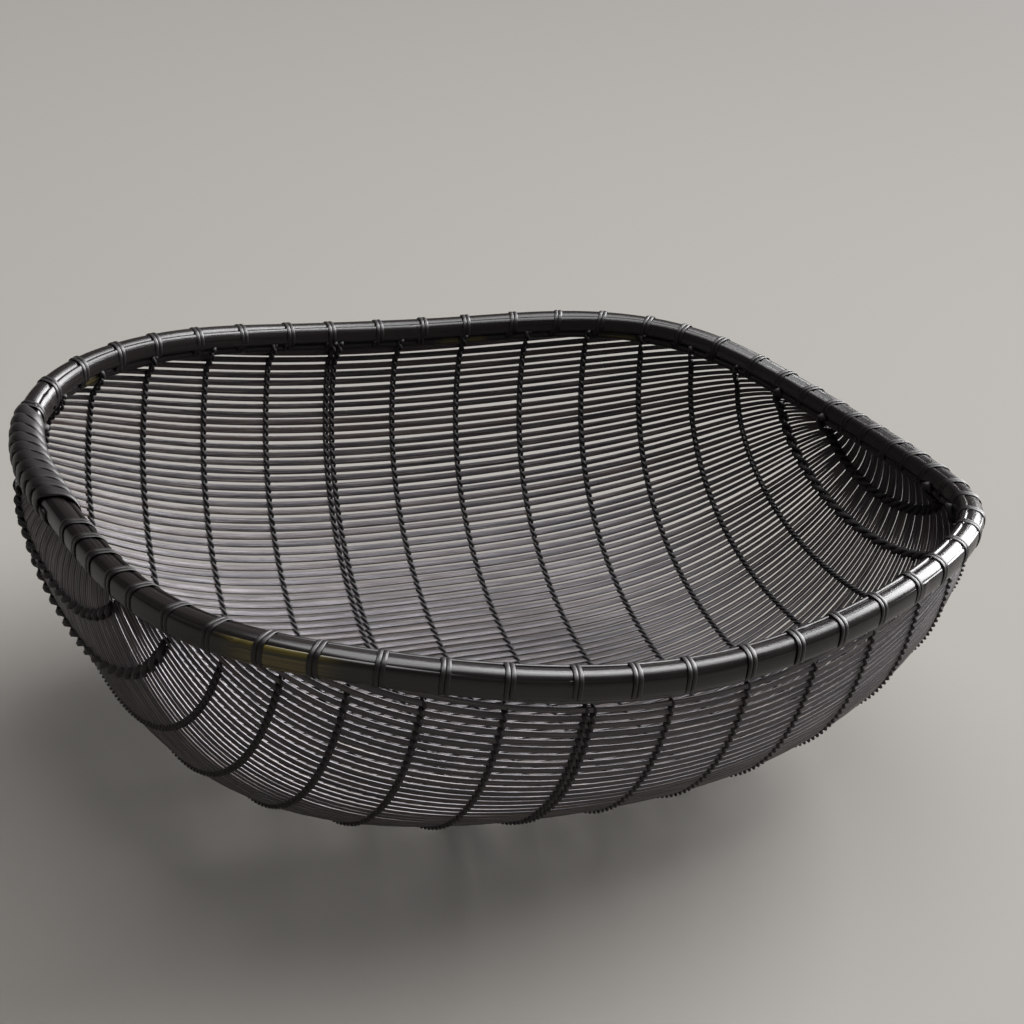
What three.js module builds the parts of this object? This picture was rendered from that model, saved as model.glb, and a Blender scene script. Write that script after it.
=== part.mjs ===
// Harvest basket: a boat-shaped bowl of split bamboo staves, twined across with cord and bound at the rim.
// Millimetres, +Z up. The origin is on the floor under the middle of the basket, with X along its length.
import * as THREE from 'three';

// The bowl. The mouth is measured on the line where the staves go in under the rim.
const MOUTH_LENGTH = 540;
const MOUTH_WIDTH = 414;
const MOUTH_RISE = 13; // the mouth line is highest half way from the middle to each tip
const BOWL_DEPTH = 168; // mouth line to the flattened bottom, at mid length
const BOTTOM_FLAT = 3; // how much of the round bottom is pressed flat where it stands
const END_BULGE = 24; // how far the ends swell out past the sections of the mouth
const PLAN_POWER = 0.67; // below 1 makes the mouth fuller than an ellipse
const SECTION_POWER = 0.875; // the same for the section across the bowl
const KEEL_LEVEL = 4.1; // how long the keel runs level before it climbs
const KEEL_CLIMB = 0.93; // how steeply it climbs to the tips
const END_RACK = 37; // the ends are pulled askew by this, the +Y side towards -X and the -Y side towards +X
const END_FULLNESS = 24; // by which the -X end is broader, and the +X end narrower, to each side
const FLOOR_RACK = 0.35; // share of both that is left at the floor

// Staves: strips split into slats along most of their length and left whole at both ends
const STAVE_COUNT = 35;
const SLATS_PER_STAVE = 3;
const STAVE_THICKNESS = 1;
const SLAT_GAP = 1.9; // between slats at mid length
const FIRST_SLAT_DROP = 8; // mouth line to the first slat at mid length
const STAVE_TUCK = 7; // how far the staves reach up inside the rim
const TIP_ROOM = 6; // a stave this far below the mouth at the last row goes on to the tip
const SPLIT_STOP = 8; // a stave that ends under the side of the rim is whole for this length
const FAN_IN = 0.7; // 1 would draw the staves in as much as the girth, 0 not at all

// Twined rows: a pair of cords across the staves, one leg inside and one outside
const ROWS_EACH_SIDE = 8; // of the middle row
const ROW_STEP_DEGREES = 10.2; // rows meet the mouth at equal angles, so they crowd towards the tips
const ROW_LAG_DEGREES = 8.5; // by which the last row hangs back at the keel, so that it curls round the tip
const SPLIT_ROW = 7; // beyond this row the staves are whole
const ROW_WIDTH = 3.2;
const ROW_THICKNESS = 1.6;
const ROW_SLACK = 1.3; // how far a row stands off the staves at each bend below the rim
const ROW_RIM_SLACK = 0.7; // and inside the rim
const ROW_LIFT = 2; // from the stave tops to the cord that joins the two legs

// Rim: split bamboo hoops that clamp the stave tops and row ends
const HOOP_THICKNESS = 4.8;
const HOOP_HEIGHT = 13;
const HOOP_SLACK = 0.65; // by which the hoops stand off the row ends at their bends
const BAND_THICKNESS = 3.6;
const STRIP_THICKNESS = 3;
const STRIP_HEIGHT = 4.5;
const CAP_THICKNESS = 2.2;
const CAP_OVERHANG = 0.6; // by which the cap stops short of the faces of hoop and band
const LASHING_WIDTH = 2;
const LASHING_THICKNESS = 0.8;
const LASHING_PITCH = 2.8; // from one turn to the next in a double turn
const LASHED_ROWS = 3; // double turns stand midway between the rows, as far out as this row
const LASHING_RUN_HEIGHT = 3; // above the foot of the rim, where the strand runs on to the next turns

// Fit and fineness
const CLEARANCE = 0.3;
const SECTION_STEPS = 64; // lengths that half a section is measured in
const LONG_ROW_BENDS = 16;
const SHORT_ROW_BENDS = 12;
const LONG_ROWS = 4; // rows up to this one from the middle are long ones
const TIP_BENDS = 4; // straight lengths of a hoop round each tip
const BISECTIONS = 40;
const PROBE = 0.02; // share of a slat or of a row by which a slope is measured

const BAMBOO = { color: 0x2b2827, roughness: 0.5, metalness: 0 };
const RIM_BAMBOO = { color: 0x221f1e, roughness: 0.42, metalness: 0 };
const CORD = { color: 0x191716, roughness: 0.7, metalness: 0 };
const RATTAN = { color: 0x2a2624, roughness: 0.45, metalness: 0 };

// Heights that follow from the stack under the bowl: stave, clearance and the outer leg of a row
const rowFace = STAVE_THICKNESS / 2 + CLEARANCE;
const bottomZ = rowFace + ROW_SLACK + ROW_THICKNESS;
const mouthZ = bottomZ + BOWL_DEPTH;
const halfLength = MOUTH_LENGTH / 2;
const halfWidth = MOUTH_WIDTH / 2;
const roundDepth = BOWL_DEPTH + BOTTOM_FLAT;
const rowStep = THREE.MathUtils.degToRad(ROW_STEP_DEGREES);
const rowLag = THREE.MathUtils.degToRad(ROW_LAG_DEGREES);

// A station along the bowl is an angle: 0 at the middle and a quarter turn at the tip. The row numbers count
// from the middle row, and a row's station goes from the keel (share 0) up to the mouth (share 1).
const mouthAngle = (row) => row * rowStep;
const rowAngle = (row, share) => mouthAngle(row) - rowLag * (row / ROWS_EACH_SIDE) ** 3 * (1 - share * share);
const lastMouthAngle = mouthAngle(ROWS_EACH_SIDE);

// The share of its greatest bulge that the keel has at each station, which is none at the middle and the tips
const bulgePeak = Math.pow(0.75, 1.5) * 0.5;
const bulgeShare = (t) => (t ** 3 * Math.sqrt(1 - t * t)) / bulgePeak;
const mouthRise = (t) => 4 * MOUTH_RISE * t * t * (1 - t * t);
const planWidth = (angle) => halfWidth * Math.pow(Math.cos(angle), PLAN_POWER);
const keelDepth = (t) => roundDepth * Math.pow(1 - Math.pow(Math.abs(t), KEEL_LEVEL), KEEL_CLIMB);

// A point of the level and even basket, moved to where it is in the racked one
function racked(point) {
  const u = point.x / halfLength;
  const share = (FLOOR_RACK + ((1 - FLOOR_RACK) * point.z) / mouthZ) * (point.y / halfWidth) * u ** 3;
  return new THREE.Vector3(point.x - END_RACK * share * u, point.y - END_FULLNESS * share, point.z);
}

// Half a section across the even bowl, from the keel up to the mouth on the +Y side, with the length along it
function halfSection(angle) {
  const t = Math.sin(angle);
  const rise = mouthRise(t);
  const points = [];
  const lengths = [0];
  for (let i = 0; i <= SECTION_STEPS; i++) {
    const phi = (Math.PI / 2) * (1 - i / SECTION_STEPS);
    const fall = Math.pow(Math.sin(phi), SECTION_POWER);
    const out = Math.pow(Math.max(Math.cos(phi), 0), SECTION_POWER);
    const z = mouthZ + rise - (keelDepth(t) + rise) * fall;
    const x = halfLength * t + END_BULGE * bulgeShare(t) * fall;
    points.push(new THREE.Vector3(x, planWidth(angle) * out, Math.max(z, bottomZ)));
    if (i > 0) lengths.push(lengths[i - 1] + points[i].distanceTo(points[i - 1]));
  }
  return { points, lengths, length: lengths[SECTION_STEPS] };
}

// The mat of slats. A place on it is a row number, whole or between rows, and a count of slats from the keel.
const slatCount = STAVE_COUNT * SLATS_PER_STAVE;
const midGirth = halfSection(0).length;
const midPitch = (2 * (midGirth - FIRST_SLAT_DROP)) / slatCount;
const slatPitch = (girth) => midPitch * Math.pow(girth / midGirth, FAN_IN);

// Length from keel to mouth, and how many slats that is, where a row meets the mouth
const mouthCache = new Map();
function atMouth(row) {
  if (!mouthCache.has(row)) {
    const girth = halfSection(mouthAngle(row)).length;
    mouthCache.set(row, { girth, pitch: slatPitch(girth), slats: girth / slatPitch(girth) });
  }
  return mouthCache.get(row);
}

function smoothMat(row, slat) {
  const share = Math.min(Math.abs(slat) / atMouth(row).slats, 1);
  const section = halfSection(rowAngle(row, share));
  const along = Math.abs(slat) * slatPitch(section.length);
  const point = new THREE.Vector3();
  if (along >= section.length) {
    point.copy(section.points[SECTION_STEPS]);
    point.z += along - section.length;
  } else {
    let i = 1;
    while (section.lengths[i] < along) i++;
    const part = (along - section.lengths[i - 1]) / (section.lengths[i] - section.lengths[i - 1]);
    point.lerpVectors(section.points[i - 1], section.points[i], part);
  }
  point.y *= Math.sign(slat);
  return racked(point);
}

// Place, outward normal and direction across the staves
function smoothFrame(row, slat) {
  const lengthwise = smoothMat(row + PROBE, slat).sub(smoothMat(row - PROBE, slat));
  const crosswise = smoothMat(row, slat + PROBE).sub(smoothMat(row, slat - PROBE)).normalize();
  const normal = new THREE.Vector3().crossVectors(crosswise, lengthwise).normalize();
  return { point: smoothMat(row, slat), normal, crosswise };
}

// Staves bend at these rows: at every second one near the middle, and at each one towards the tips
const stations = [];
for (let row = -ROWS_EACH_SIDE; row <= ROWS_EACH_SIDE; row++) {
  if (row % 2 === 0 || Math.abs(row) > LONG_ROWS) stations.push(row);
}

// The stations on both sides of a row, and how far it is from the first to the second
function between(row) {
  let i = 1;
  while (i < stations.length - 1 && stations[i] < row) i++;
  const from = Math.sin(mouthAngle(stations[i - 1]));
  const to = Math.sin(mouthAngle(stations[i]));
  return { from: stations[i - 1], to: stations[i], share: (Math.sin(mouthAngle(row)) - from) / (to - from) };
}

// A frame on the mat as the staves really run, straight from one station to the next
function matFrame(row, slat) {
  const { from, to, share } = between(row);
  const a = smoothFrame(from, slat);
  const b = smoothFrame(to, slat);
  return {
    point: a.point.lerp(b.point, share),
    normal: a.normal.lerp(b.normal, share),
    crosswise: a.crosswise.lerp(b.crosswise, share),
  };
}

// A place on the mouth line, on the +Y or the -Y side
function mouthPoint(angle, side) {
  const t = Math.sin(angle);
  return racked(new THREE.Vector3(halfLength * t, side * planWidth(angle), mouthZ + mouthRise(t)));
}

// The level direction to the left of someone who walks from one point to another
function leftOf(from, to) {
  return new THREE.Vector3(from.y - to.y, to.x - from.x, 0).normalize();
}

function mouthFrame(row, side) {
  const at = (step) => mouthPoint(mouthAngle(row + step), side);
  return { point: at(0), normal: leftOf(at(-PROBE), at(PROBE)).multiplyScalar(side) };
}

// The blunt tip of the mouth past the last row, by the share of the way from the tip to that row
function tipFrame(share, end, height) {
  const at = (step) => {
    const width = (share + step) * Math.pow(Math.cos(lastMouthAngle), PLAN_POWER);
    const angle = Math.acos(Math.pow(Math.abs(width), 1 / PLAN_POWER));
    return mouthPoint(end * angle, Math.sign(width));
  };
  const normal = leftOf(at(-PROBE), at(PROBE)).multiplyScalar(-end);
  return { point: at(0).add(new THREE.Vector3(0, 0, height)), normal };
}

// Closed bodies
function closedBody(points, faces) {
  const volume = faces.reduce((sum, [a, b, c]) => {
    return sum + points[a].dot(new THREE.Vector3().crossVectors(points[b], points[c]));
  }, 0);
  const outward = volume > 0 ? faces : faces.map(([a, b, c]) => [a, c, b]);
  const geometry = new THREE.BufferGeometry().setFromPoints(points);
  geometry.setIndex(outward.flat());
  return geometry;
}

function addQuad(faces, a, b, c, d) {
  faces.push([a, b, c], [a, c, d]);
}

// A bar of four sides through a list of four-cornered sections, closed on itself or with flat ends
function bar(sections, isRing) {
  const faces = [];
  const count = sections.length;
  for (let i = 0; i < (isRing ? count : count - 1); i++) {
    const next = (i + 1) % count;
    for (let corner = 0; corner < 4; corner++) {
      const turn = (corner + 1) % 4;
      addQuad(faces, 4 * i + corner, 4 * i + turn, 4 * next + turn, 4 * next + corner);
    }
  }
  if (!isRing) {
    const last = 4 * (count - 1);
    addQuad(faces, 3, 2, 1, 0);
    addQuad(faces, last, last + 1, last + 2, last + 3);
  }
  return closedBody(sections.flat(), faces);
}

const basket = new THREE.Group();
function addPiece(name, geometry, finish) {
  geometry.computeVertexNormals();
  const mesh = new THREE.Mesh(geometry, new THREE.MeshStandardMaterial(finish));
  mesh.name = name;
  basket.add(mesh);
}

const numbered = (name, number) => `${name}_${String(number).padStart(2, '0')}`;

// Staves
const slatHalf = (1 - SLAT_GAP / midPitch) / 2;

// The row at which a stave's upper edge comes to the top of the slot in the rim, if it does before the last one
function staveEnd(topSlat) {
  const room = (row) => atMouth(row).girth + STAVE_TUCK - topSlat * atMouth(row).pitch;
  if (room(ROWS_EACH_SIDE) > STAVE_TUCK + TIP_ROOM) return null;
  let inside = 0;
  let outside = ROWS_EACH_SIDE;
  for (let i = 0; i < BISECTIONS; i++) {
    const middle = (inside + outside) / 2;
    if (room(middle) > 0) inside = middle;
    else outside = middle;
  }
  return inside;
}

// Where the split stops in a stave that ends under the side of the rim, as a row number
function splitBefore(end) {
  return Math.asin(Math.sin(mouthAngle(end)) - SPLIT_STOP / halfLength) / rowStep;
}

function staveGeometry(stave) {
  const edges = [];
  for (let i = 0; i < SLATS_PER_STAVE; i++) {
    const slat = stave * SLATS_PER_STAVE + i - (slatCount - 1) / 2;
    edges.push(slat - slatHalf, slat + slatHalf);
  }
  const topSlat = Math.max(...edges.map(Math.abs));
  const end = staveEnd(topSlat);
  const splitEnd = end === null ? SPLIT_ROW : splitBefore(end);
  const reach = end === null ? ROWS_EACH_SIDE + PROBE : splitEnd - PROBE;
  const rows = stations.filter((row) => Math.abs(row) < reach);
  if (end !== null) {
    rows.unshift(-end, -splitEnd);
    rows.push(splitEnd, end);
  }
  const frames = rows.map((row) => edges.map((edge) => matFrame(row, edge)));
  if (end === null) {
    const toShare = 1 / atMouth(ROWS_EACH_SIDE).slats;
    frames.unshift(edges.map((edge) => tipFrame(edge * toShare, -1, STAVE_TUCK)));
    frames.push(edges.map((edge) => tipFrame(edge * toShare, 1, STAVE_TUCK)));
    rows.unshift(-Infinity);
    rows.push(Infinity);
  }

  const points = [];
  const index = (station, edge, face) => 2 * (station * edges.length + edge) + face;
  for (const frame of frames.flat()) {
    for (const face of [1, -1]) {
      points.push(frame.point.clone().addScaledVector(frame.normal, (face * STAVE_THICKNESS) / 2));
    }
  }
  const isSolid = (station, column) => {
    if (station < 0 || station > rows.length - 2 || column < 0 || column > edges.length - 2) return false;
    const furthest = Math.max(Math.abs(rows[station]), Math.abs(rows[station + 1]));
    return column % 2 === 0 || furthest > splitEnd;
  };
  const faces = [];
  const OUTER = 0;
  const INNER = 1;
  for (let station = 0; station < rows.length - 1; station++) {
    for (let column = 0; column < edges.length - 1; column++) {
      if (!isSolid(station, column)) continue;
      const corner = (step, edge, face) => index(station + step, column + edge, face);
      addQuad(faces, corner(0, 0, OUTER), corner(0, 1, OUTER), corner(1, 1, OUTER), corner(1, 0, OUTER));
      addQuad(faces, corner(0, 0, INNER), corner(1, 0, INNER), corner(1, 1, INNER), corner(0, 1, INNER));
      if (!isSolid(station, column - 1)) {
        addQuad(faces, corner(0, 0, OUTER), corner(1, 0, OUTER), corner(1, 0, INNER), corner(0, 0, INNER));
      }
      if (!isSolid(station, column + 1)) {
        addQuad(faces, corner(0, 1, OUTER), corner(0, 1, INNER), corner(1, 1, INNER), corner(1, 1, OUTER));
      }
      if (!isSolid(station - 1, column)) {
        addQuad(faces, corner(0, 0, OUTER), corner(0, 0, INNER), corner(0, 1, INNER), corner(0, 1, OUTER));
      }
      if (!isSolid(station + 1, column)) {
        addQuad(faces, corner(1, 0, OUTER), corner(1, 1, OUTER), corner(1, 1, INNER), corner(1, 0, INNER));
      }
    }
  }
  return closedBody(points, faces);
}

for (let stave = 0; stave < STAVE_COUNT; stave++) {
  addPiece(numbered('stave', stave + 1), staveGeometry(stave), BAMBOO);
}

// Twined rows: a flat loop, out along one face of the mat and back along the other, joined above the stave tops
function rowGeometry(row) {
  const { girth, pitch } = atMouth(row);
  const bends = Math.abs(row) > LONG_ROWS ? SHORT_ROW_BENDS : LONG_ROW_BENDS;
  const top = girth + STAVE_TUCK + ROW_LIFT;
  const places = [-top];
  for (let i = 0; i <= bends; i++) places.push(girth * ((2 * i) / bends - 1));
  places.push(top);
  const leg = (side) =>
    places.map((place) => {
      const { point, normal, crosswise } = matFrame(row, place / pitch);
      const slack = Math.abs(place) < girth ? ROW_SLACK : ROW_RIM_SLACK;
      const near = point.clone().addScaledVector(normal, side * (rowFace + slack));
      const far = near.clone().addScaledVector(normal, side * ROW_THICKNESS);
      if (Math.abs(place) === top) far.z += ROW_THICKNESS;
      const half = new THREE.Vector3().crossVectors(normal, crosswise).setLength(ROW_WIDTH / 2);
      return [near.clone().sub(half), near.clone().add(half), far.clone().add(half), far.clone().sub(half)];
    });
  return bar([...leg(1), ...leg(-1).reverse()], true);
}

for (let row = -ROWS_EACH_SIDE; row <= ROWS_EACH_SIDE; row++) {
  addPiece(numbered('twined_row', row + ROWS_EACH_SIDE + 1), rowGeometry(row), CORD);
}

// Rim
const hoopFace = rowFace + ROW_RIM_SLACK + ROW_THICKNESS + CLEARANCE + HOOP_SLACK;
const hoopOutside = hoopFace + HOOP_THICKNESS;
const bandInside = hoopFace + BAND_THICKNESS;
const bandFoot = STRIP_HEIGHT + CLEARANCE;
const capFoot = HOOP_HEIGHT + CLEARANCE;
const rimTop = capFoot + CAP_THICKNESS;

const mouthLoop = [];
for (const side of [1, -1]) {
  const rows = side > 0 ? stations : [...stations].reverse();
  for (const row of rows) mouthLoop.push(mouthFrame(row, side));
  for (let i = 1; i < TIP_BENDS; i++) {
    const share = side * (1 - (2 * i) / TIP_BENDS);
    mouthLoop.push(tipFrame(share, side, 0));
  }
}

// A hoop all round the mouth, between two distances outward from the mouth line and two heights above it
function addHoop(name, from, to, foot, top) {
  const sections = mouthLoop.map(({ point, normal }) => {
    const corner = (out, up) => point.clone().addScaledVector(normal, out).add(new THREE.Vector3(0, 0, up));
    return [corner(from, foot), corner(to, foot), corner(to, top), corner(from, top)];
  });
  addPiece(name, bar(sections, true), RIM_BAMBOO);
}

addHoop('rim_outer_hoop', hoopFace, hoopOutside, 0, HOOP_HEIGHT);
addHoop('rim_inner_band', -bandInside, -hoopFace, bandFoot, HOOP_HEIGHT);
addHoop('rim_inner_strip', -hoopFace - STRIP_THICKNESS, -hoopFace, 0, STRIP_HEIGHT);
addHoop('rim_cap_cane', CAP_OVERHANG - bandInside, hoopOutside - CAP_OVERHANG, capFoot, rimTop);

// Lashing: one strand along each side, in double turns round the whole rim midway between the rows
function lashingPath(side) {
  const outside = hoopOutside + CLEARANCE;
  const inside = -bandInside - CLEARANCE;
  const below = -CLEARANCE;
  const above = rimTop + CLEARANCE;
  const path = [];
  for (let gap = -LASHED_ROWS; gap < LASHED_ROWS; gap++) {
    const { point, normal, along } = mouthAt(gap + 1 / 2, side);
    const up = new THREE.Vector3(0, 0, 1);
    const place = (out, height, turn) => ({
      at: point
        .clone()
        .addScaledVector(normal, out)
        .addScaledVector(up, height)
        .addScaledVector(along, (turn - 1) * LASHING_PITCH),
    });
    const add = (out, height, turn, half, thick) => path.push({ ...place(out, height, turn), half, thick });
    const flat = along.clone();
    const corner = (outward, upward) => normal.clone().multiplyScalar(outward).addScaledVector(up, upward);
    const elbow = (rise) => along.clone().addScaledVector(up, rise);
    add(inside, LASHING_RUN_HEIGHT, 0, elbow(1), corner(-1, 0));
    for (let turn = 0; turn < 2; turn++) {
      add(inside, below, turn, flat, corner(-1, -1));
      add(outside, below, turn, flat, corner(1, -1));
      add(outside, above, turn, flat, corner(1, 1));
      add(inside, above, turn + 1, flat, corner(-1, 1));
    }
    add(inside, LASHING_RUN_HEIGHT, 2, elbow(1), corner(-1, 0));
  }
  return path;
}

// A place on the straight length of the mouth line between two stations
function mouthAt(row, side) {
  const { from, to, share } = between(row);
  const a = mouthFrame(from, side);
  const b = mouthFrame(to, side);
  const along = b.point.clone().sub(a.point).normalize();
  return { point: a.point.lerp(b.point, share), normal: a.normal.lerp(b.normal, share).normalize(), along };
}

function leastGap(path) {
  let least = Infinity;
  for (let i = 0; i < path.length; i++) {
    for (let j = i + 2; j < path.length; j++) least = Math.min(least, path[i].at.distanceTo(path[j].at));
  }
  return least - LASHING_WIDTH;
}

for (const [name, side] of [['rim_lashing_back', 1], ['rim_lashing_front', -1]]) {
  const path = lashingPath(side);
  const sections = path.map(({ at, half, thick }) => {
    const across = half.clone().multiplyScalar(LASHING_WIDTH / 2);
    const out = thick.clone().multiplyScalar(LASHING_THICKNESS);
    const low = at.clone().sub(across);
    const high = at.clone().add(across);
    return [low, high, high.clone().add(out), low.clone().add(out)];
  });
  addPiece(name, bar(sections, false), RATTAN);
  console.log(`${name}: least gap between turns ${leastGap(path).toFixed(2)} mm`);
}

export default basket;
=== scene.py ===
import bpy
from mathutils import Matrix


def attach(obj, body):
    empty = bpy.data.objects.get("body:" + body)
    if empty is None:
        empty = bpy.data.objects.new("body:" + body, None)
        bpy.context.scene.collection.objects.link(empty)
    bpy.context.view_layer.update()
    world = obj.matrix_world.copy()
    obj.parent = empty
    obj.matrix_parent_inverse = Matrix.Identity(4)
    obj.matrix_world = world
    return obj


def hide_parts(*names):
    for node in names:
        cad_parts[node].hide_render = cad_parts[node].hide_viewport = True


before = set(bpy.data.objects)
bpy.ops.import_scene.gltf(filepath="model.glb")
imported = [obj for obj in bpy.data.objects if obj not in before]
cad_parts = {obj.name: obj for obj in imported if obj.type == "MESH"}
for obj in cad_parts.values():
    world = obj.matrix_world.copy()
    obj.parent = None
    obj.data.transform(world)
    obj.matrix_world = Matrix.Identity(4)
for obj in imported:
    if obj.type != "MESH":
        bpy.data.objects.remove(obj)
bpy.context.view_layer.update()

import math
import random

import bmesh
import bpy
import numpy as np
from mathutils import Matrix, Vector

# Stage: a seamless pale floor under a weak even surround, one broad soft light from the right, as from a
# window, and a weak fill overhead. The camera stands where the photograph was taken. Places are in metres.
FLOOR_COLOUR, FLOOR_REACH = "#676460", 150
SURROUND_COLOUR, SURROUND_STRENGTH = "#c9c8c4", 0.12
WINDOW_SIDE, WINDOW_SPREAD, WINDOW_STRENGTH = (2.0, 0.65, 1.22), 50.0, 10.5
FILL_PLACE, FILL_SIZE, FILL_POWER = (0.25, 0.1, 2.0), 1.8, 60.0
CAMERA_PLACE = (-0.46662, -0.86481, 0.71162)
CAMERA_AXES = ((0.90619, 0.09172, -0.41282), (-0.39998, 0.50281, -0.76629), (0.13729, 0.85952, 0.49233))
CAMERA_LENS, FILM_WIDTH = 64.928, 36.0


def linear(colour):
    """Turn an sRGB hex colour into linear values."""
    channels = [int(colour[i:i + 2], 16) / 255 for i in (1, 3, 5)]
    return [c / 12.92 if c <= 0.04045 else ((c + 0.055) / 1.055) ** 2.4 for c in channels] + [1.0]


def add_node(material, kind, settings=None, inputs=None, links=None):
    """Add a node to a material, with its settings, its input values and the nodes that feed it."""
    node = material.node_tree.nodes.new(kind)
    for name, value in (settings or {}).items():
        setattr(node, name, value)
    for name, value in (inputs or {}).items():
        node.inputs[name].default_value = value
    for name, (source, output) in (links or {}).items():
        material.node_tree.links.new(source.outputs[output], node.inputs[name])
    return node


def new_material(name):
    material = bpy.data.materials.new(name)
    material.use_nodes = True
    material.node_tree.nodes.clear()
    return material


def close_piece(name, bm, material):
    """Make the finished mesh a piece of the scene."""
    bmesh.ops.recalc_face_normals(bm, faces=bm.faces)
    mesh = bpy.data.meshes.new(name)
    bm.to_mesh(mesh)
    bm.free()
    mesh.shade_smooth()
    mesh.materials.append(material)
    piece = bpy.data.objects.new(name, mesh)
    bpy.context.scene.collection.objects.link(piece)
    return piece


# Matt studio paper: its rough face scatters the light, so the floor shows soft shadows and no sheen.
paper = new_material("matt_studio_paper")
paper_shader = add_node(paper, "ShaderNodeBsdfPrincipled",
                        inputs={"Base Color": linear(FLOOR_COLOUR), "Roughness": 0.9})
add_node(paper, "ShaderNodeOutputMaterial", links={"Surface": (paper_shader, "BSDF")})
bm = bmesh.new()
bmesh.ops.create_grid(bm, x_segments=1, y_segments=1, size=FLOOR_REACH)
floor = close_piece("studio_floor", bm, paper)

surround = bpy.data.worlds.new("even_surround")
surround.use_nodes = True
even_light = surround.node_tree.nodes["Background"]
even_light.inputs["Color"].default_value = linear(SURROUND_COLOUR)
even_light.inputs["Strength"].default_value = SURROUND_STRENGTH
bpy.context.scene.world = surround
bpy.context.scene.view_settings.view_transform = "Standard"

window = bpy.data.lights.new("window_light", "SUN")
window.energy = WINDOW_STRENGTH
window.angle = math.radians(WINDOW_SPREAD)
fill = bpy.data.lights.new("overhead_fill", "AREA")
fill.size = FILL_SIZE
fill.energy = FILL_POWER
for lamp, place in ((window, WINDOW_SIDE), (fill, FILL_PLACE)):
    light = bpy.data.objects.new(lamp.name, lamp)
    light.location = place
    light.rotation_euler = Vector(place).to_track_quat("Z", "Y").to_euler()
    bpy.context.scene.collection.objects.link(light)

lens = bpy.data.cameras.new("photograph_view")
lens.lens = CAMERA_LENS
lens.sensor_width = FILM_WIDTH
camera = bpy.data.objects.new("photograph_view", lens)
camera.matrix_world = Matrix.Translation(CAMERA_PLACE) @ Matrix(CAMERA_AXES).to_4x4()
bpy.context.scene.collection.objects.link(camera)
bpy.context.scene.camera = camera

# Staves: strips of bamboo, dyed black and split into three slats for most of their length. They run
# from tip to tip, side by side, and together make the bowl. Their ends are pinched between the hoops.
MM = 0.001
# The bowl in millimetres: the mouth, the depth, the bulge of the ends below the mouth, and the powers
# that round the plan, the section and the keel.
HALF_LENGTH, HALF_WIDTH = 270.0, 207.0
MOUTH_Z, MOUTH_RISE, BOTTOM_Z, ROUND_DEPTH = 171.7, 13.0, 2.7, 171.0
END_BULGE, PLAN_POWER, SECTION_POWER, KEEL_LEVEL, KEEL_CLIMB = 24.0, 0.67, 0.875, 4.1, 0.93
# How far the ends are pulled askew, how much fuller one of them is, and the share of both at the floor.
END_RACK, END_FULLNESS, FLOOR_RACK = 37.0, 24.0, 0.35
# Rows are counted from the middle, in steps of angle along the length, and lag at the keel near the tips.
LAST_ROW, ROW_STEP, ROW_LAG = 8, math.radians(10.2), math.radians(8.5)
# Slats are counted from the keel. They narrow towards the tips and end a little above the mouth line.
STAVES, SLATS_EACH = 35, 3
SLAT_GAP, SLAT_THICKNESS, FIRST_SLAT_DROP, FAN_IN = 1.6, 1.0, 8.0, 0.7
SLAT_TUCK, TIP_ROOM, TIP_LEAD, TIP_ELBOW = 7.0, 6.0, 0.1, 0.45
SPLIT_FROM, SPLIT_TO = 6.9, 7.75
SLAT_DRIFT, DRIFT_RATES = 0.045, (0.5, 1.1)
SLAT_SWELL, SWELL_RATES = 0.08, (0.3, 0.8)
ANY_PHASE, FIRST_SLAT_SEED = (0, 6.28), 700
SECTION_STEPS, GIRTH_STEPS, STAVE_STEPS, TIP_STEPS = 64, 400, 68, 6


def mouth_rise(along):
    """The mouth line lifts between the middle and each tip, as along runs from -1 to 1."""
    return 4 * MOUTH_RISE * along * along * (1 - along * along)


def racked(points):
    """Pull the ends askew and fill one of them out, more at the mouth than at the floor."""
    along = points[..., 0] / HALF_LENGTH
    height = FLOOR_RACK + (1 - FLOOR_RACK) * points[..., 2] / MOUTH_Z
    share = height * points[..., 1] / HALF_WIDTH * along ** 3
    return points - np.stack([END_RACK * share * along, END_FULLNESS * share, 0 * share], axis=-1)


def half_section(angle):
    """Points from the keel up to the mouth for each angle along the length, and the way up to them."""
    along = np.sin(angle)[:, None]
    turn = np.linspace(math.pi / 2, 0, SECTION_STEPS + 1)
    fall = np.sin(turn) ** SECTION_POWER
    out = np.maximum(np.cos(turn), 0) ** SECTION_POWER
    depth = ROUND_DEPTH * (1 - np.abs(along) ** KEEL_LEVEL) ** KEEL_CLIMB + mouth_rise(along)
    # The bulge is greatest where the square of along is 0.75, and 1 there.
    bulge = along ** 3 * np.sqrt(1 - along * along) / (0.75 ** 1.5 * 0.25 ** 0.5)
    points = np.stack(np.broadcast_arrays(
        HALF_LENGTH * along + END_BULGE * bulge * fall,
        HALF_WIDTH * np.cos(angle)[:, None] ** PLAN_POWER * out,
        np.maximum(MOUTH_Z + mouth_rise(along) - depth * fall, BOTTOM_Z)), axis=-1)
    steps = np.linalg.norm(np.diff(points, axis=1), axis=2)
    return points, np.concatenate([np.zeros((len(angle), 1)), np.cumsum(steps, axis=1)], axis=1)


def mouth_girth(row):
    """Length of a row from the keel to the mouth."""
    return half_section(np.ravel(row) * ROW_STEP)[1][:, -1]


mid_girth = mouth_girth(0.0)[0]
mid_pitch = 2 * (mid_girth - FIRST_SLAT_DROP) / (STAVES * SLATS_EACH)
slat_half = (1 - SLAT_GAP / mid_pitch) / 2


def slat_pitch(girth):
    """Room for one slat in a row of this girth."""
    return mid_pitch * (girth / mid_girth) ** FAN_IN


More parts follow.
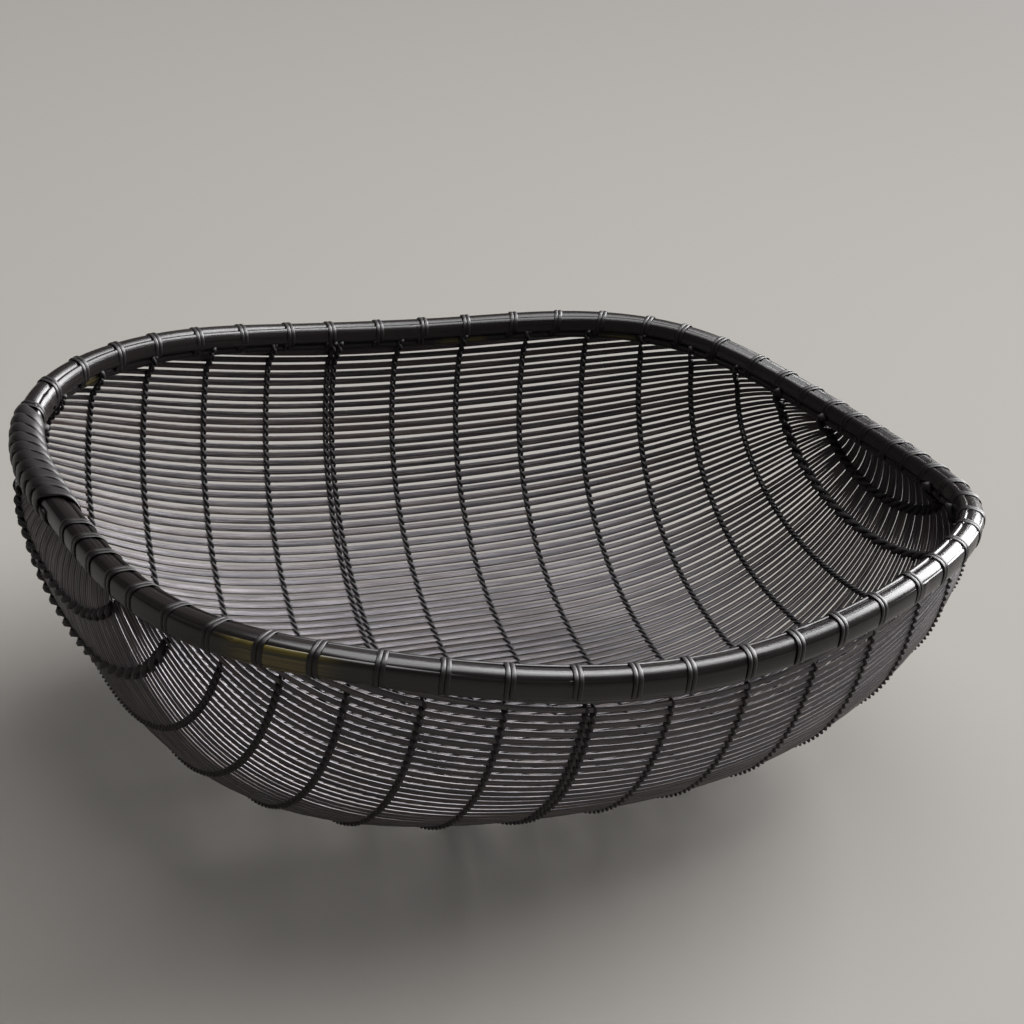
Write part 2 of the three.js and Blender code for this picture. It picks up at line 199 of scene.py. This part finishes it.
def on_mat(row, slat):
    """Places on the bowl where a row and a slat cross."""
    row, slat = np.broadcast_arrays(np.asarray(row, float), np.asarray(slat, float))
    shape, row, slat = row.shape, row.ravel(), slat.ravel()
    girth = mouth_girth(row)
    share = np.minimum(np.abs(slat) * slat_pitch(girth) / girth, 1)
    points, lengths = half_section(row * ROW_STEP - ROW_LAG * (row / LAST_ROW) ** 3 * (1 - share ** 2))
    way_up = np.abs(slat) * slat_pitch(lengths[:, -1])
    each = np.arange(len(row))
    step = np.clip((lengths < way_up[:, None]).sum(axis=1), 1, SECTION_STEPS)
    below, above = lengths[each, step - 1], lengths[each, step]
    part = np.minimum((way_up - below) / (above - below), 1)
    place = points[each, step - 1] + (points[each, step] - points[each, step - 1]) * part[:, None]
    place[:, 2] += np.maximum(way_up - lengths[:, -1], 0)
    place[:, 1] *= np.sign(slat)
    return racked(place).reshape(shape + (3,))


def unit(vectors):
    return vectors / np.linalg.norm(vectors, axis=-1, keepdims=True)


def to_tip(side, slat, part):
    """The last bend of a slat, from the last row up to its end under the rim."""
    start = on_mat(side * LAST_ROW, slat)
    lead = start - on_mat(side * (LAST_ROW - TIP_LEAD), slat)
    last_girth = mouth_girth(LAST_ROW)
    width = slat * slat_pitch(last_girth) / last_girth * math.cos(LAST_ROW * ROW_STEP) ** PLAN_POWER
    angle = np.arccos(np.minimum(np.abs(width), 1) ** (1 / PLAN_POWER))
    end = racked(np.stack([side * HALF_LENGTH * np.sin(angle), HALF_WIDTH * width,
                           MOUTH_Z + mouth_rise(np.sin(angle))], axis=-1))
    end[:, 2] += SLAT_TUCK
    reach = np.linalg.norm(end - start, axis=-1, keepdims=True)
    elbow = start + unit(lead) * reach * TIP_ELBOW
    part = part[:, None]
    return (1 - part) ** 2 * start + 2 * part * (1 - part) * elbow + part ** 2 * end


def eased(share):
    """Let a share from 0 to 1 start and end gently."""
    return share * share * (3 - 2 * share)


def way_along(path):
    """Distance along a path at each of its points."""
    return np.concatenate([[0], np.cumsum(np.linalg.norm(np.diff(path, axis=0), axis=1))])


def new_grained():
    """Start a mesh whose points keep their place in the grain: along it, across it, and a tone."""
    bm = bmesh.new()
    bm.verts.layers.float_vector.new("grain")
    return bm


def lay_rod(bm, rings, grain):
    """Lay a closed rod through rings of points, each with its place in the grain."""
    count, sides = rings.shape[:2]
    rod = new_grained()
    layer = rod.verts.layers.float_vector["grain"]
    bmesh.ops.create_cone(rod, cap_ends=True, segments=sides, radius1=1, radius2=1, depth=2)
    lengthwise = [edge for edge in rod.edges if abs(edge.verts[0].co.z - edge.verts[1].co.z) > 1]
    bmesh.ops.subdivide_edges(rod, edges=lengthwise, cuts=count - 2)
    rod.verts.ensure_lookup_table()
    first = math.atan2(rod.verts[0].co.y, rod.verts[0].co.x)
    for vert in rod.verts:
        ring = round((vert.co.z + 1) / 2 * (count - 1))
        corner = round((math.atan2(vert.co.y, vert.co.x) - first) / (2 * math.pi) * sides) % sides
        vert[layer] = grain[ring, corner]
        vert.co = rings[ring, corner]
    laid = bpy.data.meshes.new("laid_rod")
    rod.to_mesh(laid)
    rod.free()
    bm.from_mesh(laid)
    bpy.data.meshes.remove(laid)


# Dyed split bamboo: long fibres lie close and straight, so the black is streaked with brown and grey, and
# the film of dye shines more than bare bamboo. Some lengths are rubbed smooth and catch the light along the
# slat, others stay dull. The fibres are drawn coarser than real ones, so that they show.
FIBRE_LENGTH, FIBRE_WIDTH, FIBRE_RELIEF, FIBRE_SHIFT = 45.0, 0.6, 0.26, 40.0
RUBBED_LENGTH, RUBBED_WIDTH, RUBBED_SHIFT = 30.0, 2.2, 70.0
FIBRE_TONES = (0.28, "#0a0908"), (0.5, "#181415"), (0.8, "#7d736c")
BROWN_SLAT, SHEEN_TINT = "#44372f", "#f6f2fc"
bamboo = new_material("dyed_split_bamboo")
grain = add_node(bamboo, "ShaderNodeAttribute", {"attribute_name": "grain"})
fibre_way = add_node(bamboo, "ShaderNodeMapping",
                     inputs={"Scale": (1 / (FIBRE_LENGTH * MM), 1 / (FIBRE_WIDTH * MM), FIBRE_SHIFT)},
                     links={"Vector": (grain, "Vector")})
fibres = add_node(bamboo, "ShaderNodeTexNoise", inputs={"Scale": 1.0, "Detail": 4.0, "Roughness": 0.65},
                  links={"Vector": (fibre_way, "Vector")})
rubbed_way = add_node(bamboo, "ShaderNodeMapping",
                      inputs={"Scale": (1 / (RUBBED_LENGTH * MM), 1 / (RUBBED_WIDTH * MM), RUBBED_SHIFT)},
                      links={"Vector": (grain, "Vector")})
rubbed = add_node(bamboo, "ShaderNodeTexNoise", inputs={"Scale": 1.0, "Detail": 3.0},
                  links={"Vector": (rubbed_way, "Vector")})
fibre_colour = add_node(bamboo, "ShaderNodeValToRGB", links={"Fac": (fibres, "Fac")})
fibre_colour.color_ramp.elements.new(0.5)
for stop, (position, colour) in zip(fibre_colour.color_ramp.elements, FIBRE_TONES):
    stop.position = position
    stop.color = linear(colour)
marks = add_node(bamboo, "ShaderNodeSeparateXYZ", links={"Vector": (grain, "Vector")})
slat_tone = add_node(bamboo, "ShaderNodeMapRange",
                     inputs={"From Min": 0.6, "From Max": 1.0, "To Min": 0.0, "To Max": 0.5},
                     links={"Value": (marks, "Z")})
toned = add_node(bamboo, "ShaderNodeMix", {"data_type": "RGBA"}, inputs={"B": linear(BROWN_SLAT)},
                 links={"Factor": (slat_tone, "Result"), "A": (fibre_colour, "Color")})
sheen_range = add_node(bamboo, "ShaderNodeMapRange",
                       inputs={"From Min": 0.35, "From Max": 0.68, "To Min": 0.36, "To Max": 0.62},
                       links={"Value": (rubbed, "Fac")})
fibre_bump = add_node(bamboo, "ShaderNodeBump", inputs={"Strength": 1.0, "Distance": FIBRE_RELIEF * MM},
                      links={"Height": (fibres, "Fac")})
bamboo_shader = add_node(bamboo, "ShaderNodeBsdfPrincipled",
                         inputs={"IOR": 1.7, "Specular Tint": linear(SHEEN_TINT)},
                         links={"Base Color": (toned, "Result"), "Roughness": (sheen_range, "Result"),
                                "Normal": (fibre_bump, "Normal")})
add_node(bamboo, "ShaderNodeOutputMaterial", links={"Surface": (bamboo_shader, "BSDF")})

# One slat in section, as shares of its half width and half thickness, and the grain's shift to the next.
half_across, half_crown = np.array([1.0, 0.97, 0.8, -0.8, -0.97]), np.array([0.0, 0.65, 1.0, 1.0, 0.65])
slat_across = np.concatenate([half_across, -half_across])
slat_crown = np.concatenate([half_crown, -half_crown])
GRAIN_SHIFT = 10.0

row_steps = np.linspace(0, LAST_ROW, GIRTH_STEPS + 1)
row_girths = mouth_girth(row_steps)
for stave in range(STAVES):
    bm = new_grained()
    for split in range(-1 if stave == 0 else 0, SLATS_EACH + (stave == STAVES - 1)):
        number = stave * SLATS_EACH + split
        slat = number - (STAVES * SLATS_EACH - 1) / 2
        chance = random.Random(FIRST_SLAT_SEED + number)
        room = row_girths + SLAT_TUCK - (abs(slat) + slat_half) * slat_pitch(row_girths)
        end = row_steps[room > 0][-1]
        rows = np.linspace(-end, end, STAVE_STEPS + 1)
        drift = SLAT_DRIFT * np.sin(rows * chance.uniform(*DRIFT_RATES) + chance.uniform(*ANY_PHASE))
        breadth = 1 + SLAT_SWELL * np.sin(rows * chance.uniform(*SWELL_RATES) + chance.uniform(*ANY_PHASE))
        whole = np.clip((np.abs(rows) - SPLIT_FROM) / (SPLIT_TO - SPLIT_FROM), 0, 1)
        outer = slat_half * breadth
        inner = outer + (0.5 - outer) * eased(whole)
        middle_slat = slat + drift * (1 - whole)
        low = middle_slat - (outer if split <= 0 else inner)
        high = middle_slat + (outer if split >= SLATS_EACH - 1 else inner)
        low_edge, high_edge = on_mat(rows, low), on_mat(rows, high)
        if room[-1] > SLAT_TUCK + TIP_ROOM:
            part = np.linspace(0, 1, TIP_STEPS + 1)[1:]
            before = [to_tip(-1, np.full(TIP_STEPS, edge[0]), part)[::-1] for edge in (low, high)]
            after = [to_tip(1, np.full(TIP_STEPS, edge[-1]), part) for edge in (low, high)]
            low_edge = np.concatenate([before[0], low_edge, after[0]])
            high_edge = np.concatenate([before[1], high_edge, after[1]])
        middle = (low_edge + high_edge) / 2
        across = (high_edge - low_edge) / 2
        normal = unit(np.cross(across, np.gradient(middle, axis=0)))
        half_width = np.linalg.norm(across, axis=1)
        rings = (middle[:, None] + across[:, None] * slat_across[:, None]
                 + normal[:, None] * slat_crown[:, None] * SLAT_THICKNESS / 2) * MM
        across_grain = half_width[:, None] * slat_across + slat * GRAIN_SHIFT
        places = np.stack(np.broadcast_arrays(
            way_along(middle)[:, None] * MM, across_grain * MM, chance.random()), axis=-1)
        lay_rod(bm, rings, places)
    piece = close_piece(f"split_stave_{stave + 1:02d}", bm, bamboo)
    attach(piece, "root")
    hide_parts(f"stave_{stave + 1:02d}")

# Twined rows: two black cords to a row, which change places round every slat, one in front and one
# behind. At the mouth the pair runs up over the inner strip and ends in a knot under the inner band. The
# last two rows at each end are of thicker cord and go round whole staves, and one row is doubled.
CORD_RADIUS, THICK_CORD_RADIUS, CORD_CORNERS, CORD_STEPS = 1.08, 1.95, 6, 6
CORD_SINK = 0.85
WHOLE_STAVE_ROW = 7
DOUBLE_ROW, DOUBLE_SPREAD = -1, 2.3
ROW_TOP, STRIP_STEP, STRIP_RAMP, ROW_NUDGE = 5.4, 6.4, 15.0, 0.02
KNOT_SWELL, KNOT_FROM, KNOT_LENGTH = 0.45, 2.4, 2.0
MOUTH_STEPS, MOUTH_NUDGE = 4000, 2.0

# Dyed twisted cord: loose short fibres scatter the light, so it is a dull black with no clear sheen.
FUZZ_SIZE, FUZZ_RELIEF = 1.2, 0.4
FUZZ_TONES = (0.3, "#0b0a0a"), (0.75, "#262223")
cord = new_material("dyed_twisted_cord")
cord_place = add_node(cord, "ShaderNodeTexCoord")
fuzz = add_node(cord, "ShaderNodeTexNoise", inputs={"Scale": 1 / (FUZZ_SIZE * MM), "Detail": 4.0},
                links={"Vector": (cord_place, "Object")})
cord_colour = add_node(cord, "ShaderNodeValToRGB", links={"Fac": (fuzz, "Fac")})
for stop, (position, colour) in zip(cord_colour.color_ramp.elements, FUZZ_TONES):
    stop.position = position
    stop.color = linear(colour)
fuzz_bump = add_node(cord, "ShaderNodeBump", inputs={"Strength": 0.5, "Distance": FUZZ_RELIEF * MM},
                     links={"Height": (fuzz, "Fac")})
cord_shader = add_node(cord, "ShaderNodeBsdfPrincipled", inputs={"Roughness": 0.62, "IOR": 1.5},
                       links={"Base Color": (cord_colour, "Color"), "Normal": (fuzz_bump, "Normal")})
add_node(cord, "ShaderNodeOutputMaterial", links={"Surface": (cord_shader, "BSDF")})

side_angles = np.linspace(-math.pi / 2, math.pi / 2, MOUTH_STEPS + 1)
plan_x = HALF_LENGTH * np.sin(side_angles)
plan_y = HALF_WIDTH * np.maximum(np.cos(side_angles), 0) ** PLAN_POWER
plan_z = MOUTH_Z + mouth_rise(np.sin(side_angles))
mouth_loop = racked(np.concatenate([np.stack([plan_x, plan_y, plan_z], axis=1),
                                    np.stack([plan_x, -plan_y, plan_z], axis=1)[-2::-1]]))
mouth_ways = way_along(mouth_loop[:, :2])
mouth_length = mouth_ways[-1]


def along_mouth(way):
    """Points of the mouth line, a way round it from the left tip, first along the back."""
    way = np.mod(way, mouth_length)
    return np.stack([np.interp(way, mouth_ways, mouth_loop[:, axis]) for axis in range(3)], axis=-1)


def on_mouth(way):
    """Points of the mouth line and the level directions outward from them."""
    way = np.asarray(way, float)
    ahead = along_mouth(way + MOUTH_NUDGE) - along_mouth(way - MOUTH_NUDGE)
    ahead[..., 2] = 0
    ahead = unit(ahead)
    outward = np.stack([-ahead[..., 1], ahead[..., 0], ahead[..., 2]], axis=-1)
    return along_mouth(way), outward


def row_way(row, side):
    """Way round the mouth to the end of a row, at the back (1) or at the front (-1)."""
    ways = mouth_ways[:MOUTH_STEPS + 1] if side > 0 else mouth_ways[MOUTH_STEPS:][::-1]
    return np.interp(row * ROW_STEP, side_angles, ways)


def lay_cord(bm, path, normal, radius):
    """Lay a round cord along a path."""
    along = unit(np.gradient(path, axis=0))
    side = unit(np.cross(along, normal))
    up = np.cross(side, along)
    turn = np.arange(CORD_CORNERS) * 2 * math.pi / CORD_CORNERS
    radius = np.broadcast_to(radius, len(path))[:, None]
    rings = path[:, None] + radius[:, None] * (np.cos(turn)[:, None] * side[:, None]
                                               + np.sin(turn)[:, None] * up[:, None])
    places = np.stack(np.broadcast_arrays(way_along(path)[:, None], radius * turn, 0.0), axis=-1)
    lay_rod(bm, rings * MM, places * MM)


for number in range(2 * LAST_ROW + 1):
    row = number - LAST_ROW
    thick = abs(row) >= WHOLE_STAVE_ROW
    radius = THICK_CORD_RADIUS if thick else CORD_RADIUS
    step = SLATS_EACH if thick else 1
    girth = mouth_girth(float(row))[0]
    top = (girth + ROW_TOP) / slat_pitch(girth)
    slats = np.linspace(-top, top, int(2 * top / step * CORD_STEPS) + 1)
    place_on = on_mat(float(row), slats)
    over_mouth = np.abs(slats) * slat_pitch(girth) - girth
    climb = np.clip(1 + over_mouth / STRIP_RAMP, 0, 1)
    inward = np.where(slats[:, None] > 0, *(-on_mouth(row_way(row, side))[1] for side in (1, -1)))
    place_on += inward * (STRIP_STEP * eased(climb))[:, None]
    lengthwise = unit(on_mat(row + ROW_NUDGE, slats) - on_mat(row - ROW_NUDGE, slats))
    normal = unit(np.cross(np.gradient(place_on, axis=0), lengthwise))
    knotted = 1 + KNOT_SWELL * np.clip((over_mouth - KNOT_FROM) / KNOT_LENGTH, 0, 1)
    bm = new_grained()
    for spread in (-DOUBLE_SPREAD, DOUBLE_SPREAD) if row == DOUBLE_ROW else (0.0,):
        for turn in (0, math.pi):
            phase = math.pi * slats / step + turn
            path = (place_on + lengthwise * (spread + radius * np.sin(phase))[:, None]
                    + normal * ((SLAT_THICKNESS / 2 + CORD_SINK * radius) * np.cos(phase))[:, None])
            lay_cord(bm, path, normal, radius * knotted)
    piece = close_piece(f"cord_row_{number + 1:02d}", bm, cord)
    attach(piece, "root")
    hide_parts(f"twined_row_{number + 1:02d}")

# Outer hoop: a stout half-round strip of dyed bamboo bent round the outside of the stave tops. Its
# ends meet under the close lashing near one tip, and the joints of the cane stand a little proud.
HOOP_RING, HOOP_STEPS, HOOP_CORNERS, HOOP_LAP = 10.0, 720, 20, 55.0
JOINT_PROUD, JOINT_LENGTH, JOINT_ROOM = 0.5, 2.2, (0.2, 0.8)
HOOP_WAVES, WAVE_HEIGHT = (3, 7, 12), 0.12
PATCH_ROWS = -5.8, -4.3

# Dyed bamboo skin: hard and smooth, with a satin gloss broken into lengthwise streaks by the fibres,
# and golden where the dye has worn thin.
SKIN_FIBRE_LENGTH, SKIN_FIBRE_WIDTH, SKIN_RELIEF = 120.0, 0.9, 0.3
SKIN_TONES = (0.3, "#080707"), (0.78, "#231f1e")
WORN_COLOUR = "#6c612e"
hoop_bamboo = new_material("dyed_bamboo_skin")
grain = add_node(hoop_bamboo, "ShaderNodeAttribute", {"attribute_name": "grain"})
fibre_way = add_node(hoop_bamboo, "ShaderNodeMapping",
                     inputs={"Scale": (1 / (SKIN_FIBRE_LENGTH * MM), 1 / (SKIN_FIBRE_WIDTH * MM), 0.0)},
                     links={"Vector": (grain, "Vector")})
fibres = add_node(hoop_bamboo, "ShaderNodeTexNoise",
                  inputs={"Scale": 1.0, "Detail": 5.0, "Roughness": 0.6},
                  links={"Vector": (fibre_way, "Vector")})
fibre_colour = add_node(hoop_bamboo, "ShaderNodeValToRGB", links={"Fac": (fibres, "Fac")})
for stop, (position, colour) in zip(fibre_colour.color_ramp.elements, SKIN_TONES):
    stop.position = position
    stop.color = linear(colour)
marks = add_node(hoop_bamboo, "ShaderNodeSeparateXYZ", links={"Vector": (grain, "Vector")})
patchy = add_node(hoop_bamboo, "ShaderNodeMapRange",
                  inputs={"From Min": 0.36, "From Max": 0.6, "To Min": 0.0, "To Max": 1.0},
                  links={"Value": (fibres, "Fac")})
worn = add_node(hoop_bamboo, "ShaderNodeMath", {"operation": "MULTIPLY"})
for socket, source in zip(worn.inputs, (marks.outputs["Z"], patchy.outputs["Result"])):
    hoop_bamboo.node_tree.links.new(source, socket)
hoop_colour = add_node(hoop_bamboo, "ShaderNodeMix", {"data_type": "RGBA"},
                       inputs={"B": linear(WORN_COLOUR)},
                       links={"Factor": (worn, "Value"), "A": (fibre_colour, "Color")})
fibre_bump = add_node(hoop_bamboo, "ShaderNodeBump",
                      inputs={"Strength": 0.5, "Distance": SKIN_RELIEF * MM},
                      links={"Height": (fibres, "Fac")})
hoop_shader = add_node(hoop_bamboo, "ShaderNodeBsdfPrincipled", inputs={"Roughness": 0.24, "IOR": 1.45},
                       links={"Base Color": (hoop_colour, "Result"), "Normal": (fibre_bump, "Normal")})
add_node(hoop_bamboo, "ShaderNodeOutputMaterial", links={"Surface": (hoop_shader, "BSDF")})


def squared_off(share, power):
    """Push shares from -1 to 1 outward, so that a round section turns squarish."""
    return np.sign(share) * np.abs(share) ** power


def bend_hoop(name, node, seed, inside, outside, low, high, square, lean=0.0, underside=-math.inf, joints=0,
              worn_at=(), worn_through=1.0):
    """Bend a strip round the mouth, between two distances from its line and two heights above it."""
    bm = new_grained()
    upright = Matrix.Translation((HOOP_RING, 0, 0)) @ Matrix.Rotation(math.pi / 2, 4, "X")
    ring = bmesh.ops.create_circle(bm, segments=HOOP_CORNERS, radius=1, matrix=upright)
    edges = list({edge for vert in ring["verts"] for edge in vert.link_edges})
    bmesh.ops.spin(bm, geom=ring["verts"] + edges, cent=(0, 0, 0), axis=(0, 0, 1), angle=2 * math.pi,
                   steps=HOOP_STEPS, use_merge=True)
    layer = bm.verts.layers.float_vector["grain"]
    verts = list(bm.verts)
    spun = np.array([vert.co for vert in verts])
    round_share = np.mod(np.arctan2(spun[:, 1], spun[:, 0]), 2 * math.pi) / (2 * math.pi)
    way = HOOP_LAP + round_share * mouth_length
    cross_out = np.hypot(spun[:, 0], spun[:, 1]) - HOOP_RING
    cross_up = spun[:, 2]
    out = (inside + outside) / 2 + (outside - inside) / 2 * squared_off(cross_out, square)
    out = out + lean * cross_up
    height = (low + high) / 2 + (high - low) / 2 * squared_off(cross_up, square)
    height = np.maximum(height, underside)
    wear = sum((worn_through * np.exp(-((way - spot) / reach) ** 4) for spot, reach in worn_at), 0 * way)
    chance = random.Random(seed)
    for joint in range(joints):
        spot = (joint + chance.uniform(*JOINT_ROOM)) * mouth_length / joints
        out = out + np.sign(cross_out) * JOINT_PROUD * np.exp(-((way - spot) / JOINT_LENGTH) ** 2)
    for waves in HOOP_WAVES:
        swing = way / mouth_length * 2 * math.pi * waves
        out = out + WAVE_HEIGHT * np.sin(swing + chance.uniform(*ANY_PHASE))
        height = height + WAVE_HEIGHT * np.sin(swing + chance.uniform(*ANY_PHASE))
    point, outward = on_mouth(way)
    place = (point + outward * out[:, None]) * MM
    place[:, 2] += height * MM
    for vert, spot, mark in zip(verts, place, np.stack([way * MM, (out + height) * MM, wear], axis=1)):
        vert.co = spot
        vert[layer] = mark
    piece = close_piece(name, bm, hoop_bamboo)
    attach(piece, "root")
    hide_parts(node)


patch = [row_way(row, -1) for row in PATCH_ROWS]
bend_hoop("outer_hoop", "rim_outer_hoop", seed=11, inside=3.2, outside=8.7, low=-0.2, high=13.4, square=0.85,
          joints=7, worn_at=[(sum(patch) / 2, abs(patch[0] - patch[1]) / 2)], worn_through=0.75)

# Inner band: a flat strip of dyed bamboo bent round the inside, over the ends of the rows. It leans out
# with the wall, so that its face looks up a little and shines.
bend_hoop("inner_band", "rim_inner_band", seed=12, inside=-7.0, outside=-2.6, low=4.6, high=14.8, square=0.8,
          lean=1.4, joints=6)

# Inner strip: a slim half-round cane under the band, which the rows pass over, rubbed through the dye
# in a few places along the back.
STRIP_WORN_ROWS = (-5.25, 7), (0.85, 11), (1.2, 6), (3.6, 12)
bend_hoop("inner_strip", "rim_inner_strip", seed=13, inside=-6.3, outside=-2.7, low=-1.3, high=4.6,
          square=0.9, worn_at=[(row_way(row, 1), reach) for row, reach in STRIP_WORN_ROWS], worn_through=0.5)

# Cap: a half-round cane of dyed bamboo laid over the gap between the hoops and held by the lashings, so
# that no stave end shows from above.
bend_hoop("cap_cane", "rim_cap_cane", seed=14, inside=-4.6, outside=8.1, low=2.6, high=15.5, square=0.9,
          underside=10.5)

# Lashings: a flat strand of rattan peel wound twice round the whole rim at each place, drawn tight and
# run on behind the inner band. Near one tip a broader strand is wound close over the ends of the hoops.
LASHINGS_EACH_SIDE, LASHING_TURNS, LASHING_CROWDING, LASHING_DRIFT = 29, 2, 0.28, 2
LASHING_WIDTH, LASHING_THICKNESS, LASHING_PITCH = 2.7, 0.65, 2.8
LASHING_SLANT, END_SLANT = 1.5, 4
LASHED_INSIDE, LASHED_OUTSIDE, LASHED_FOOT, LASHED_TOP, LASHED_SQUARE = -7.4, 9.1, -1.6, 15.9, 0.74
GROOVE_HEIGHT, GROOVE_POWER, HIDDEN_DEPTH, HIDDEN_ROOM = 4.7, 1.35, -3.0, 2
WRAP_FROM, WRAP_PITCH, WRAP_TURNS, WRAP_SLANT = 106.0, 9.6, 10, 7
WRAP_WIDTH, WRAP_THICKNESS, WRAP_SWELL = 9.0, 2.6, 1.2
STRAND_CORNERS, TURN_STEPS, HIDDEN_STEPS = 8, 28, 8

# Dyed rattan peel: the hard outer skin of the vine, smooth and glossy, so each turn catches the light.
PEEL_FIBRE_LENGTH, PEEL_FIBRE_WIDTH, PEEL_RELIEF = 20.0, 0.7, 0.3
PEEL_TONES = (0.3, "#0c0b0b"), (0.8, "#1e1a19")
rattan = new_material("dyed_rattan_peel")
grain = add_node(rattan, "ShaderNodeAttribute", {"attribute_name": "grain"})
fibre_way = add_node(rattan, "ShaderNodeMapping",
                     inputs={"Scale": (1 / (PEEL_FIBRE_LENGTH * MM), 1 / (PEEL_FIBRE_WIDTH * MM), 0.0)},
                     links={"Vector": (grain, "Vector")})
fibres = add_node(rattan, "ShaderNodeTexNoise", inputs={"Scale": 1.0, "Detail": 4.0},
                  links={"Vector": (fibre_way, "Vector")})
fibre_colour = add_node(rattan, "ShaderNodeValToRGB", links={"Fac": (fibres, "Fac")})
for stop, (position, colour) in zip(fibre_colour.color_ramp.elements, PEEL_TONES):
    stop.position = position
    stop.color = linear(colour)
fibre_bump = add_node(rattan, "ShaderNodeBump", inputs={"Strength": 0.6, "Distance": PEEL_RELIEF * MM},
                      links={"Height": (fibres, "Fac")})
rattan_shader = add_node(rattan, "ShaderNodeBsdfPrincipled", inputs={"Roughness": 0.42, "IOR": 1.42},
                         links={"Base Color": (fibre_colour, "Color"), "Normal": (fibre_bump, "Normal")})
add_node(rattan, "ShaderNodeOutputMaterial", links={"Surface": (rattan_shader, "BSDF")})

middle_out, middle_height = (LASHED_INSIDE + LASHED_OUTSIDE) / 2, (LASHED_FOOT + LASHED_TOP) / 2
half_out, half_height = (LASHED_OUTSIDE - LASHED_INSIDE) / 2, (LASHED_TOP - LASHED_FOOT) / 2
groove_turn = math.pi + ((middle_height - GROOVE_HEIGHT) / half_height) ** GROOVE_POWER


def wind_strand(bm, way, out, height, width, thickness):
    """Lay a flat strand at a way round the mouth, a distance out from its line and a height above it."""
    point, outward = on_mouth(way)
    path = point + outward * out[:, None]
    path[:, 2] += height
    along = unit(np.gradient(path, axis=0))
    away = outward * (out - middle_out)[:, None]
    away[:, 2] = height - middle_height
    flat = unit(np.cross(along, away))
    up = np.cross(flat, along)
    corner = np.arange(STRAND_CORNERS) * 2 * math.pi / STRAND_CORNERS
    beside, over = width / 2 * np.cos(corner), thickness / 2 * np.sin(corner)
    rings = path[:, None] + flat[:, None] * beside[:, None] + up[:, None] * over[:, None]
    places = np.stack(np.broadcast_arrays(way_along(path)[:, None], beside, 0.0), axis=-1)
    lay_rod(bm, rings * MM, places * MM)


def round_rim(turn, swell):
    """Distance out and height of a strand at a turn round the rim's squarish section."""
    return (middle_out + (half_out + swell) * squared_off(np.cos(turn), LASHED_SQUARE),
            middle_height + (half_height + swell) * squared_off(np.sin(turn), LASHED_SQUARE))


for name, node, start, seed in (("lashing_back", "rim_lashing_back", 0.0, 31),
                                ("lashing_front", "rim_lashing_front", mouth_length / 2, 32)):
    chance = random.Random(seed)
    shares = np.linspace(-1, 1, LASHINGS_EACH_SIDE + 2)[1:-1]
    crowded = (1 + LASHING_CROWDING) * shares - LASHING_CROWDING * shares ** 3
    spots = start + mouth_length / 4 * (1 + crowded)
    spots, shares = zip(*((spot + chance.uniform(-LASHING_DRIFT, LASHING_DRIFT), share)
                          for spot, share in zip(spots, shares) if spot > WRAP_FROM + LASHING_PITCH * 2))
    turn = groove_turn + np.linspace(0, 2 * math.pi * LASHING_TURNS, TURN_STEPS * LASHING_TURNS + 1)
    out, height = round_rim(turn, 0)
    ways, outs, heights = [], [], []
    for spot, share in zip(spots, shares):
        if ways:
            hidden = ways[-1][-1] + HIDDEN_ROOM, spot - LASHING_PITCH - HIDDEN_ROOM
            ways.append(np.linspace(*hidden, HIDDEN_STEPS))
            outs.append(np.full(HIDDEN_STEPS, HIDDEN_DEPTH))
            heights.append(np.full(HIDDEN_STEPS, GROOVE_HEIGHT))
        slant = LASHING_SLANT + END_SLANT * share ** 2
        ways.append(spot + LASHING_PITCH * np.linspace(-1, 1, len(turn)) + slant * np.cos(turn))
        outs.append(out)
        heights.append(height)
    bm = new_grained()
    strand = (np.concatenate(values) for values in (ways, outs, heights))
    wind_strand(bm, *strand, LASHING_WIDTH, LASHING_THICKNESS)
    if node == "rim_lashing_back":
        turn = np.linspace(0, 2 * math.pi * WRAP_TURNS, TURN_STEPS * WRAP_TURNS + 1)
        thinning = np.sqrt(np.abs(np.sin(turn / WRAP_TURNS / 2)))
        way = WRAP_FROM - WRAP_PITCH * turn / (2 * math.pi) + WRAP_SLANT * np.cos(turn)
        wind_strand(bm, way, *round_rim(turn, WRAP_SWELL * thinning), WRAP_WIDTH, WRAP_THICKNESS)
    piece = close_piece(name, bm, rattan)
    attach(piece, "root")
    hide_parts(node)

bpy.context.view_layer.update()
